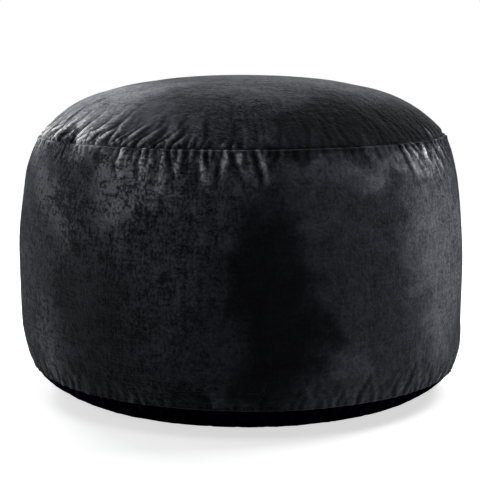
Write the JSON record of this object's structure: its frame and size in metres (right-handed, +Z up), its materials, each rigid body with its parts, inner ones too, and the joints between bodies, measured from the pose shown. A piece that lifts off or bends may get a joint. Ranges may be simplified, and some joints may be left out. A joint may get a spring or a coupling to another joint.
{
  "type": "floor cushion",
  "caption": "Round drum-shaped floor cushion: a velvet cover with gathered seams, zipped around a filled inner bag.",
  "frame": {"origin": "centre of the flat patch that rests on the floor, on the cushion's axis", "axes": "+Z up along the cushion's axis, the front faces -Y, the zip is centred on +Y at the back, and the two side seams are at +X and -X"},
  "size_m": [0.6, 0.6, 0.422],
  "materials": {
    "velvet": "pile",
    "base_cloth": "matte",
    "thread": "satin",
    "zip_tape": "matte",
    "zip_coil": "satin",
    "zip_metal": "satin",
    "label": "satin",
    "liner": "matte",
    "filling": "matte"
  },
  "bodies": {
    "cushion": {"top_panel": "velvet", "side_band_front": "velvet", "side_band_rear": "velvet", "base_panel": "base_cloth", "top_seam_thread": "thread", "base_seam_thread": "thread", "side_seam_threads": "thread", "zip_stitching": "thread", "liner_seam_threads": "thread", "zip_tape_upper": "zip_tape", "zip_tape_lower": "zip_tape", "zip_teeth_upper": "zip_coil", "zip_teeth_lower": "zip_coil", "zip_end_stops": "zip_metal", "care_label": "label", "liner_top": "liner", "liner_band": "liner", "liner_base": "liner", "filling": "filling"},
    "slider": {"zip_slider": "zip_metal"},
    "pull_ring": {"zip_pull_ring": "zip_metal"},
    "pull_tab": {"zip_pull_tab": "zip_metal"}
  },
  "joints": [
    {"name": "zip_slider_travel", "type": "hinge", "parent": "cushion", "child": "slider", "pos_m": [0, 0, 0.036], "axis": [0, 0, -1], "range_deg": [0, 106]},
    {"name": "pull_ring_swing", "type": "hinge", "parent": "slider", "child": "pull_ring", "pos_m": [-0.22952, 0.17296, 0.03304], "axis": [0.6018, 0.7986, 0], "range_deg": [0, 114]},
    {"name": "pull_tab_swing", "type": "hinge", "parent": "pull_ring", "child": "pull_tab", "pos_m": [-0.22952, 0.17296, 0.02763], "axis": [-0.7986, 0.6018, 0], "range_deg": [-75, 75]}
  ]
}
